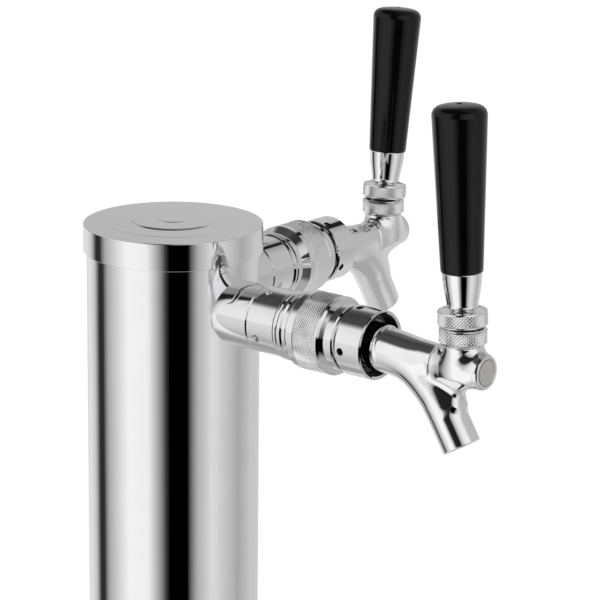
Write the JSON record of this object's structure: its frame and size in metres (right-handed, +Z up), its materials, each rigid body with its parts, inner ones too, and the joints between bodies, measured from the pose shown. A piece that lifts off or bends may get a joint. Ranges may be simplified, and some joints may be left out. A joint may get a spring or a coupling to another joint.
{
  "type": "beer tap tower",
  "caption": "Polished round draft column with a slip-over cap and splayed lever faucets on knurled couplings, for a bar counter.",
  "frame": {"origin": "centre of the underside of the base gasket, on the column axis", "axes": "+Z up the column; -Y is the front, between the faucets; -X is the side of the left faucet"},
  "size_m": [0.2589, 0.1843, 0.4023],
  "materials": {
    "polished_steel": "mirror polished stainless steel",
    "chrome": "bright chrome plate",
    "satin_steel": "satin",
    "plain_steel": "machined stainless steel",
    "gasket_rubber": "matt",
    "white_plastic": "matt",
    "insert_brass": "turned",
    "handle_black": "glossy"
  },
  "bodies": {
    "tower": {"column_tube": "polished_steel", "base_flange": "polished_steel", "base_gasket": "gasket_rubber", "left_saddle_collar": "chrome", "left_lock_ring": "chrome", "left_shank": "plain_steel", "left_saddle_washer": "plain_steel", "left_jam_nut": "plain_steel", "left_tail_elbow": "plain_steel", "left_tail_nut": "plain_steel", "left_tail_gasket": "gasket_rubber", "left_coupling_body": "chrome", "left_faucet_gasket": "gasket_rubber", "left_faucet_body": "chrome", "left_front_cap": "satin_steel", "left_ball_seal": "gasket_rubber", "left_friction_ring": "white_plastic", "left_bonnet": "chrome", "right_saddle_collar": "chrome", "right_lock_ring": "chrome", "right_shank": "plain_steel", "right_saddle_washer": "plain_steel", "right_jam_nut": "plain_steel", "right_tail_elbow": "plain_steel", "right_tail_nut": "plain_steel", "right_tail_gasket": "gasket_rubber", "right_coupling_body": "chrome", "right_faucet_gasket": "gasket_rubber", "right_faucet_body": "chrome", "right_front_cap": "satin_steel", "right_ball_seal": "gasket_rubber", "right_friction_ring": "white_plastic", "right_bonnet": "chrome"},
    "cap": {"top_cap": "polished_steel"},
    "left_nut": {"left_coupling_nut": "chrome"},
    "left_valve": {"left_valve_shaft": "plain_steel", "left_seat_washer": "gasket_rubber", "left_shaft_nut": "plain_steel"},
    "left_lever_body": {"left_lever": "plain_steel", "left_lever_collar": "chrome"},
    "left_handle_body": {"left_handle_ferrule": "chrome", "left_handle_insert": "insert_brass", "left_handle": "handle_black"},
    "right_nut": {"right_coupling_nut": "chrome"},
    "right_valve": {"right_valve_shaft": "plain_steel", "right_seat_washer": "gasket_rubber", "right_shaft_nut": "plain_steel"},
    "right_lever_body": {"right_lever": "plain_steel", "right_lever_collar": "chrome"},
    "right_handle_body": {"right_handle_ferrule": "chrome", "right_handle_insert": "insert_brass", "right_handle": "handle_black"}
  },
  "joints": [
    {"name": "cap_lift", "type": "slide", "parent": "tower", "child": "cap", "axis": [0, 0, 1], "range_m": [0, 0.05]},
    {"name": "left_lever_tilt", "type": "hinge", "parent": "tower", "child": "left_lever_body", "pos_m": [-0.11373, -0.10983, 0.3058], "axis": [0.6947, -0.7193, 0], "range_deg": [0, 32.8]},
    {"name": "left_valve_slide", "type": "slide", "parent": "tower", "child": "left_valve", "axis": [0.7193, 0.6947, 0], "range_m": [0, 0.0071]},
    {"name": "left_handle_turn", "type": "hinge", "parent": "left_lever_body", "child": "left_handle_body", "pos_m": [-0.11373, -0.10983, 0.3058], "axis": [0.0351, 0.0339, 0.9988], "continuous": true},
    {"name": "left_nut_turn", "type": "hinge", "parent": "tower", "child": "left_nut", "pos_m": [-0.07913, -0.07641, 0.2943], "axis": [-0.7193, -0.6947, 0], "continuous": true},
    {"name": "right_lever_tilt", "type": "hinge", "parent": "tower", "child": "right_lever_body", "pos_m": [0.11373, -0.10983, 0.3058], "axis": [0.6947, 0.7193, 0], "range_deg": [0, 24.6]},
    {"name": "right_valve_slide", "type": "slide", "parent": "tower", "child": "right_valve", "axis": [-0.7193, 0.6947, 0], "range_m": [0, 0.0053]},
    {"name": "right_handle_turn", "type": "hinge", "parent": "right_lever_body", "child": "right_handle_body", "pos_m": [0.11373, -0.10983, 0.3058], "axis": [0.0677, -0.0654, 0.9956], "continuous": true},
    {"name": "right_nut_turn", "type": "hinge", "parent": "tower", "child": "right_nut", "pos_m": [0.07913, -0.07641, 0.2943], "axis": [0.7193, -0.6947, 0], "continuous": true}
  ],
  "couplings": [
    {"joint": "left_valve_slide", "follows": "left_lever_tilt", "m_per_rad": 0.012176},
    {"joint": "right_valve_slide", "follows": "right_lever_tilt", "m_per_rad": 0.012006}
  ]
}
